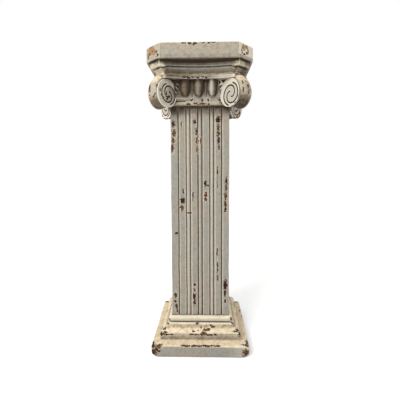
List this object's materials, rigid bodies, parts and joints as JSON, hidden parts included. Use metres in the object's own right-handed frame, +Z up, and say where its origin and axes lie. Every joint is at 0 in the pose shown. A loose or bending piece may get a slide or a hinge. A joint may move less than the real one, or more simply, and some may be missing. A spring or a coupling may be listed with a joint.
{
  "type": "column pedestal",
  "caption": "Square fluted column pedestal with a moulded base, an Ionic capital with diagonal corner scrolls and a flat cut-corner top slab for a vase, bust or plant.",
  "frame": {"origin": "middle of the underside of the square base", "axes": "+Z up the column, X and Y parallel to the sides of the square base, -Y towards the side the picture shows"},
  "size_m": [0.2526, 0.2526, 0.762],
  "materials": {
    "aged_antique_white_paint": "matt antique-white paint over a cement-like casting, crackled and chipped, with brown dirt in the recesses"
  },
  "bodies": {
    "root": {"column_pedestal": "aged_antique_white_paint"}
  },
  "joints": []
}
